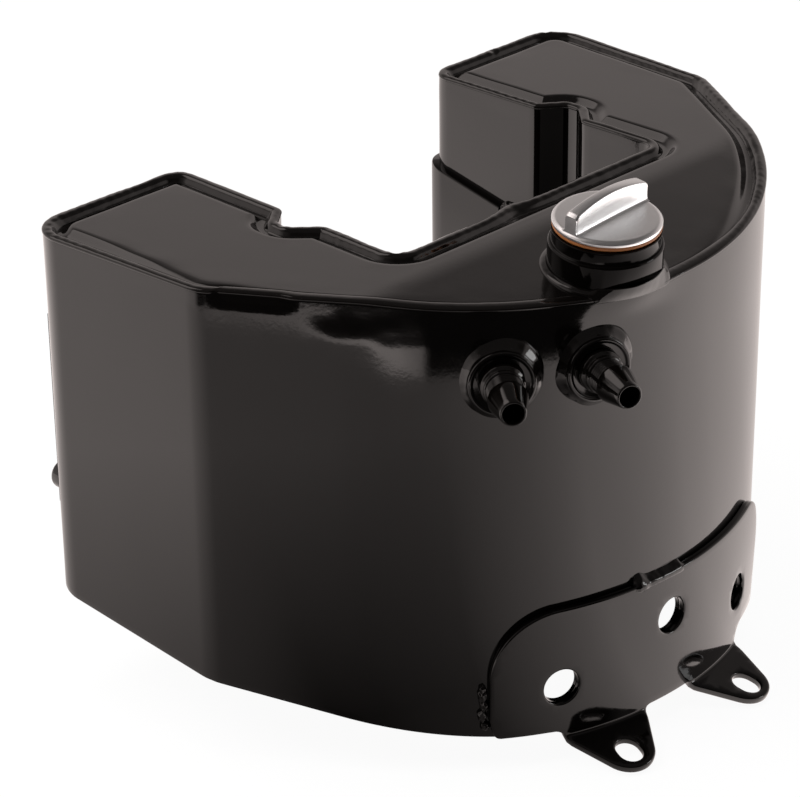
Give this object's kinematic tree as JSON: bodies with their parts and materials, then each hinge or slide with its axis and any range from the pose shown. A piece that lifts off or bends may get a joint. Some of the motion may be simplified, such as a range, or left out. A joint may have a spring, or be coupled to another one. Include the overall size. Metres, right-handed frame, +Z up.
{
  "type": "motorcycle oil tank",
  "caption": "Horseshoe oil tank in gloss black sheet steel that wraps round a battery bay, with a screw-in filler cap, hose spigots and a slotted front bracket.",
  "frame": {"origin": "midway between the two slots of the front bracket's tabs, on the tabs' underside", "axes": "+Z up along the walls, +Y towards the open ends of the two arms, +X across the tank, away from the filler neck"},
  "size_m": [0.276, 0.2125, 0.207],
  "materials": {
    "black_paint": "gloss powder coat",
    "chrome": "satin disc with polished edges",
    "seal_rubber": "smooth",
    "raw_steel": "mill",
    "zinc_steel": "plated",
    "brass": "turned",
    "washer_metal": "turned"
  },
  "bodies": {
    "tank": {"outer_wall": "black_paint", "inner_wall": "black_paint", "top_plate": "black_paint", "top_weld": "black_paint", "bottom_plate": "black_paint", "recess_box": "black_paint", "bottom_weld": "black_paint", "front_bracket": "black_paint", "bracket_welds": "black_paint", "filler_neck": "black_paint", "neck_weld": "black_paint", "vent_boss": "black_paint", "return_boss": "black_paint", "boss_welds": "black_paint", "vent_spigot": "black_paint", "return_spigot": "black_paint", "vent_tube": "raw_steel", "return_tube": "raw_steel", "feed_bung": "black_paint", "feed_spigot": "brass", "feed_strainer": "brass", "drain_bung": "black_paint", "drain_washer": "washer_metal", "drain_plug": "zinc_steel", "baffle_left": "raw_steel", "baffle_right": "raw_steel", "strap_left": "black_paint", "strap_right": "black_paint", "strap_welds": "black_paint", "rear_boss_left": "black_paint", "rear_boss_right": "black_paint"},
    "seal": {"cap_seal": "seal_rubber"},
    "cap": {"filler_cap": "chrome", "dipstick": "zinc_steel"}
  },
  "joints": [
    {"name": "cap_rise", "type": "slide", "parent": "tank", "child": "seal", "axis": [-0.0576, -0.0906, 0.9942], "range_m": [0, 0.00875]},
    {"name": "cap_turn", "type": "hinge", "parent": "seal", "child": "cap", "pos_m": [-0.017, 0.0291, 0.17482], "axis": [-0.0576, -0.0906, 0.9942], "range_deg": [0, 900]}
  ],
  "couplings": [
    {"joint": "cap_rise", "follows": "cap_turn", "m_per_rad": 0.00055704}
  ]
}
